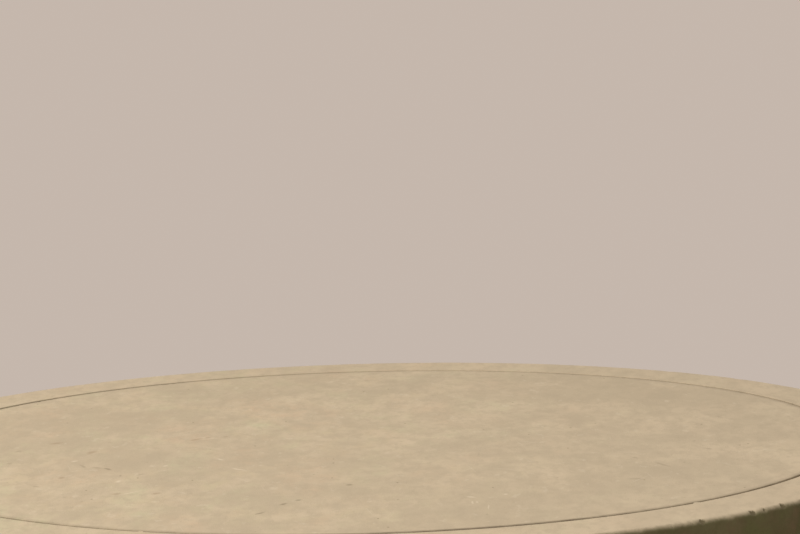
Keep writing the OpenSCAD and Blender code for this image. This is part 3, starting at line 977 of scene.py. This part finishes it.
rim_lo, rim_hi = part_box("rim_ring")
rim_r = rim_hi.x
rim_w = 0.058
rim_in_r = rim_r - rim_w
arris_r = 0.0055
joint_edge = 0.0009
lower_edge = 0.0008
arris_margin = 0.003
joint_depth = 0.009
rim_angles = even_angles(2600)
rim_steps = 8
rim_radii = [0, joint_edge, arris_r, lower_edge]
rim_outline = ring_outline(rim_in_r, rim_r, rim_lo.z, rim_hi.z, rim_radii, rim_steps)
arc_starts = 1 + (rim_steps + 1) * np.arange(3)
inner_foot, inner_arc, arris_arc, lower_arc = np.split(rim_outline, arc_starts)
joint_rows = profile_rows(rim_in_r, [rim_hi.z - joint_depth, rim_hi.z - row_margin])
top_rows = profile_rows(np.linspace(rim_in_r + row_margin, rim_r - arris_r - arris_margin, 4), rim_hi.z)
side_rows = profile_rows(rim_r, np.linspace(rim_hi.z - arris_r - arris_margin, rim_lo.z + row_margin, 3))
rim_rows = np.vstack([inner_foot, joint_rows, inner_arc, top_rows, arris_arc, side_rows, lower_arc])
row_r, row_z = rim_rows[:, :1], rim_rows[:, 1:]

chip_pixels = {"near": (701.5, 521.0), "middle": (755.0, 512.5), "far": (789.0, 506.5)}
chip_drop = 0.002
shown_chips = [[angle_seen(pixel, rim_hi.z - chip_drop), 1.0, 0.5] for pixel in chip_pixels.values()]
rng = np.random.default_rng(165)
more_chips = random_spots(rng, 30, least=0.25)
nicks = random_spots(rng, 150, least=0.3)
chip_length = 0.017
chip_depth = 0.0012
chip_ragged = 0.25
nick_length = 0.0060
nick_depth = 0.0006
chip = knocks(rim_angles, rim_r, shown_chips + more_chips, chip_length, chip_depth)
chip = np.maximum(chip, knocks(rim_angles, rim_r, nicks, nick_length, nick_depth))
chip *= 1 + chip_ragged * uneven(rim_angles, ragged_waves, seed=5)

corner_r, corner_z = rim_r - arris_r, rim_hi.z - arris_r
corner_margin = 0.002
bite_spread = 0.62
rub_depth = 0.00025
spoke = np.arctan2(row_z - corner_z, row_r - corner_r)
by_corner = (row_r > corner_r - corner_margin) & (row_z > corner_z - corner_margin)
on_corner = bell(spoke - math.pi / 4, bite_spread) * by_corner
rubbed = rub_depth * (1 + uneven(rim_angles, [37, 61, 90, 144, 209], seed=8))
bite = on_corner * (chip + rubbed) * math.sqrt(0.5)

speck_pixels = {"right": (690.5, 501.5), "left": (142.0, 531.0)}
paint_specks = [[angle_seen(pixel, rim_hi.z), 1.0, 1.0] for pixel in speck_pixels.values()]
speck_length = 0.0056
speck_reach = 0.0034
speck_drop = 0.0008
speck_h = 0.0016
speck_band = 0.0012
speck = knocks(rim_angles, rim_in_r, paint_specks, speck_length, speck_reach)
on_speck = bell(rim_hi.z - row_z - speck_drop, speck_h) * (row_r < rim_in_r + speck_band)

top_dip = 0.00018
inner_margin = 0.002
wander = top_dip * (uneven(rim_angles, [2, 3, 5, 17, 29], seed=14) - 1)
on_top = (row_z > corner_z) & (row_r > rim_in_r + inner_margin) & (row_r < corner_r + arris_r)

# The cream turns to olive over the whole arc of the rounded corner, a paint edge that also serves as painted
# shade as the corner turns down from the light
olive_from, olive_turn = math.radians(84), math.radians(80)
olive_margin = 0.001
side_paint_and_shade = np.clip((olive_from - spoke) / olive_turn, 0, 1) * (row_r > corner_r - olive_margin)
# Dirt and painted shade along the joint: darker on the top near its inner edge and on the joint's wall
wall_margin = 0.0001
dirt_and_shade_w = 0.0022
top_dirt_and_shade, wall_dirt_and_shade = 0.10, 0.12
speck_clean = 1.2
rim_dirt_and_shade = top_dirt_and_shade * bell(row_r - rim_in_r, dirt_and_shade_w) + wall_dirt_and_shade * (row_r < rim_in_r + wall_margin)
rim = turned_piece(
    "rim_top",
    row_r - bite - on_speck * speck,
    row_z - bite + wander * on_top,
    rim_angles,
    masks={
        "side_paint_and_shade": side_paint_and_shade,
        "chip": on_corner * chip / chip_depth,
        "joint_dirt_and_shade": np.clip(rim_dirt_and_shade - on_speck * speck / speck_reach * speck_clean, 0, 1),
    },
)
rim.data.materials.append(rim_paint())
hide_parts("rim_ring")
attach(rim, "drum")


# Turning deck
# A disc of the same board, screwed to the bearing's upper race from below. Its cream paint is more worn than
# the rim's, because things are slid about on it: it has fine pale scratches, dark scuffs and a grubby edge,
# darkened by dirt and painted shade, with a painted shadow along the joint at the front.

smudge_brown = (0.34, 0.24, 0.150)
scratch_pale = (0.72, 0.61, 0.45)
scuff_brown = (0.15, 0.11, 0.065)


def deck_paint(top_z, scratches, smudges, scuffs, faint_scuffs):
    """The cream paint, worn, with the deck's own pale scratches, brown smudges, dark and faint scuffs, and a
    grubby edge along the joint, darkened by dirt and painted shade and, at the front, by a painted shadow.
    """
    material, place = new_finish("deck_paint", specular=0.3)
    paint = use_group(cream_paint, place, Wear=1.0)
    dark = times(laid_strokes(place, scuffs, top_z), 0.5)
    faint = times(laid_strokes(place, faint_scuffs, top_z), 0.24)
    colour = layered(paint["Color"], [
        (smudge_brown, laid_strokes(place, smudges, top_z), 0.5),
        (scratch_pale, laid_strokes(place, scratches, top_z), 0.5),
        (scuff_brown, sums("MAXIMUM", dark, faint), 1.0),
    ])
    return feed(material, with_joint_dirt_and_shade(place, colour), paint["Roughness"], paint["Height"], cream_relief)


deck_lo, deck_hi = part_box("deck")
deck_r = deck_hi.x
deck_angles = even_angles(1440)
deck_steps = 6
deck_corners = [(0, deck_hi.z), (deck_r, deck_hi.z), (deck_r, deck_lo.z), (0, deck_lo.z)]
deck_outline = outline_with_arcs(deck_corners, [0, joint_edge, lower_edge, 0], deck_steps)
deck_middle, deck_arc, deck_under = np.split(deck_outline, [1, deck_steps + 2])
first_ring_r = 0.06
edge_margin = 0.006
side_margin = 0.005
inside_rows = profile_rows(np.linspace(first_ring_r, deck_r - edge_margin, 8), deck_hi.z)
edge_rows = profile_rows(deck_r, [deck_hi.z - side_margin, deck_lo.z + side_margin])
deck_rows = np.vstack([deck_middle, inside_rows, deck_arc, edge_rows, deck_under])
deck_row_r, deck_row_z = deck_rows[:, :1], deck_rows[:, 1:]
from_edge = deck_r - deck_row_r
deck_nick_depth = 0.0005
edge_w = 0.0012
upper_h = 0.002
deck_dip = 0.00015
is_upper = deck_row_z > deck_hi.z - upper_h
deck_nicks = random_spots(rng, 70, least=0.3)
nick = knocks(deck_angles, deck_r, deck_nicks, nick_length, deck_nick_depth)
nick = bell(from_edge, edge_w) * is_upper * nick
sway = deck_dip * (uneven(deck_angles, [2, 3, 5, 7], seed=31) - 1) * (deck_row_r / deck_r) * is_upper

# Dirt and painted shade along the joint: darker on the deck's top near its edge and on its side wall
edge_dirt_and_shade, edge_wall_dirt_and_shade = 0.42, 0.10
edge_dirt_and_shade_w = 0.0018
deck_dirt_and_shade = edge_dirt_and_shade * bell(from_edge, edge_dirt_and_shade_w) + edge_wall_dirt_and_shade * (from_edge < wall_margin)
# A painted shadow that darkens the deck's edge along the joint at the front
front_shadow_pixel = (495.0, 525.5)
front_shadow_strength = 0.9
front_shadow_spread = 0.21
front_shadow_w = 0.0032
from_front_shadow = deck_angles - angle_seen(front_shadow_pixel, deck_hi.z)
front_shadow = front_shadow_strength * np.exp((np.cos(from_front_shadow) - 1) / front_shadow_spread ** 2)
deck = turned_piece(
    "deck_top",
    deck_row_r - nick,
    deck_row_z - nick + sway,
    deck_angles,
    loop=False,
    masks={"joint_dirt_and_shade": np.clip(deck_dirt_and_shade + front_shadow * bell(from_edge, front_shadow_w), 0, 1)},
)


def shown_strokes(marks):
    """Marks of the photograph as strokes on the deck. A mark is its two ends' pixels and its width."""
    strokes = []
    for first_end, last_end, width in marks.values():
        first, last = seen_at(first_end, deck_hi.z), seen_at(last_end, deck_hi.z)
        along = last - first
        middle = (first + last) / 2
        angle = math.degrees(math.atan2(along[1], along[0]))
        strokes.append((middle[0], middle[1], angle, np.linalg.norm(along), width))
    return strokes


scratches = shown_strokes({
    "long": ((114.5, 495.9), (144.4, 490.0), 0.0035),
    "left dab": ((71.0, 462.0), (78.5, 460.2), 0.0080),
    "near dab": ((116.5, 483.2), (120.5, 479.6), 0.0060),
    "middle dab": ((162.0, 467.0), (168.7, 464.6), 0.0050),
    "ridge": ((216.5, 458.0), (224.0, 460.6), 0.0060),
    "low line": ((229.0, 467.6), (247.7, 471.0), 0.0050),
    "fleck": ((503.5, 494.8), (506.5, 493.0), 0.0050),
    "front hook": ((465.0, 495.9), (477.0, 497.5), 0.0080),
    "hook's stem": ((472.7, 500.0), (472.6, 504.6), 0.0024),
    "hook's dot": ((476.6, 500.8), (478.0, 503.2), 0.0030),
    "front upright": ((488.8, 503.4), (488.7, 510.0), 0.0020),
})
smudges = shown_strokes({
    "far left": ((48.0, 444.6), (65.0, 442.0), 0.0120),
    "blotch": ((87.5, 455.0), (96.0, 450.0), 0.0110),
    "left spot": ((59.5, 479.3), (65.0, 476.0), 0.0080),
    "by the scratch": ((111.0, 495.0), (121.0, 492.8), 0.0100),
    "near spot": ((151.5, 495.0), (160.0, 492.0), 0.0100),
    "far dash": ((188.0, 441.2), (202.5, 438.0), 0.0100),
    "far dot": ((204.0, 438.6), (211.0, 436.8), 0.0080),
    "farther dash": ((221.0, 437.4), (229.0, 436.2), 0.0080),
})
scuffs = shown_strokes({
    "broken line, right": ((102.5, 467.6), (112.5, 470.4), 0.0050),
    "near dash": ((253.1, 515.0), (266.0, 511.3), 0.0050),
    "front pair, left": ((279.0, 505.2), (287.5, 502.8), 0.0060),
    "front pair, right": ((295.2, 500.9), (301.0, 499.0), 0.0080),
    "front spot": ((346.0, 485.6), (351.8, 483.8), 0.0080),
})
faint_scuffs = shown_strokes({
    "broken line, left": ((78.5, 464.0), (87.0, 468.6), 0.0045),
    "broken line, middle": ((89.5, 466.8), (104.0, 468.6), 0.0070),
    "left edge": ((7.0, 464.4), (12.0, 462.4), 0.0060),
    "left dot": ((16.8, 452.2), (20.4, 450.4), 0.0080),
    "left pair": ((32.0, 485.4), (40.5, 487.4), 0.0050),
    "short dash": ((136.5, 475.4), (145.0, 473.6), 0.0055),
    "right dot": ((692.0, 441.8), (696.0, 439.8), 0.0050),
    "right dash": ((702.5, 448.2), (713.5, 448.9), 0.0060),
    "right tick": ((630.5, 456.4), (640.5, 458.8), 0.0050),
    "right slope": ((652.5, 461.0), (673.0, 467.6), 0.0050),
    "right low": ((624.0, 478.6), (647.0, 478.4), 0.0110),
})
deck.data.materials.append(deck_paint(deck_hi.z, scratches, smudges, scuffs, faint_scuffs))
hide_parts("deck")
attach(deck, "turning_deck")


# Studio
# A plain pale floor that fades into an even background of its own colour, a large soft lamp high on the
# left, a weaker one at the front right and even light from all round.

backdrop = (0.560, 0.475, 0.415)
floor_dark = (0.555, 0.475, 0.418)
floor_pale = (0.585, 0.500, 0.440)
room_light = (1.0, 0.97, 0.935)


def ray_seen(tree):
    """1 for rays that show the background as such: to the camera, in gloss and through glass."""
    ray = add_node(tree, "LightPath").outputs
    seen = sums("MAXIMUM", ray["Is Camera Ray"], ray["Is Glossy Ray"])
    return sums("MAXIMUM", seen, ray["Is Transmission Ray"])


def either(share, first, second):
    """The first shader, and a share of the second in its place."""
    return add_node(share.id_data, "MixShader", {0: share, 1: first.outputs[0], 2: second.outputs[0]})


def pale_floor(fade_from, fade_to):
    """Pale matt floor, clear from below. Away from the plinth it turns into the background's own colour."""
    material = bpy.data.materials.new("pale_floor")
    material.use_nodes = True
    tree = material.node_tree
    tree.nodes.clear()
    place = add_node(tree, "TexCoord").outputs["Object"]
    far = times(between(length_of(place), fade_from, fade_to), ray_seen(tree))
    near = add_node(tree, "BsdfDiffuse", {"Color": blend(floor_dark, floor_pale, noise(place, 1.3))})
    even = add_node(tree, "Emission", {"Color": backdrop, "Strength": 1.0})
    below = add_node(tree, "NewGeometry").outputs["Backfacing"]
    whole = either(below, either(far, near, even), add_node(tree, "BsdfTransparent"))
    add_node(tree, "OutputMaterial", {"Surface": whole.outputs[0]})
    return material


floor_reach = 60.0
floor_mesh = bpy.data.meshes.new("floor")
floor_corners = floor_reach * np.array([[-1, -1, 0], [1, -1, 0], [1, 1, 0], [-1, 1, 0]])
floor_mesh.from_pydata(floor_corners, [], [[0, 1, 2, 3]])
floor_mesh.materials.append(pale_floor(fade_from=1.2, fade_to=4.0))
floor = bpy.data.objects.new("floor", floor_mesh)
bpy.context.scene.collection.objects.link(floor)

world = bpy.data.worlds.new("studio")
bpy.context.scene.world = world
world.use_nodes = True
sky = world.node_tree
sky.nodes.clear()
ambient = add_node(sky, "Background", {"Color": room_light, "Strength": 0.42})
shown = add_node(sky, "Background", {"Color": backdrop, "Strength": 1.0})
add_node(sky, "OutputWorld", {"Surface": either(ray_seen(sky), ambient, shown).outputs[0]})


def add_lamp(name, place, aim, width, power, colour):
    """A square soft lamp at place, turned towards aim."""
    data = bpy.data.lights.new(name, "AREA")
    data.shape = "SQUARE"
    data.size = width
    data.energy = power
    data.color = colour
    lamp = bpy.data.objects.new(name, data)
    ray = np.subtract(aim, place)
    turn = Matrix.Rotation(math.atan2(ray[1], ray[0]) - math.pi / 2, 4, "Z")
    tip = Matrix.Rotation(math.pi / 2 + math.asin(ray[2] / np.linalg.norm(ray)), 4, "X")
    lamp.matrix_world = Matrix.Translation(place) @ turn @ tip
    bpy.context.scene.collection.objects.link(lamp)


top_centre = (0.0, 0.0, float(rim_hi.z))
side_centre = (0.0, 0.0, 0.5)
add_lamp("key", (-2.6, -1.0, 4.4), top_centre, width=2.0, power=165.0, colour=(1.0, 0.965, 0.92))
add_lamp("fill", (2.6, -3.6, 2.4), side_centre, width=2.6, power=34.0, colour=(1.0, 0.97, 0.94))


bpy.context.scene.view_settings.view_transform = "Standard"
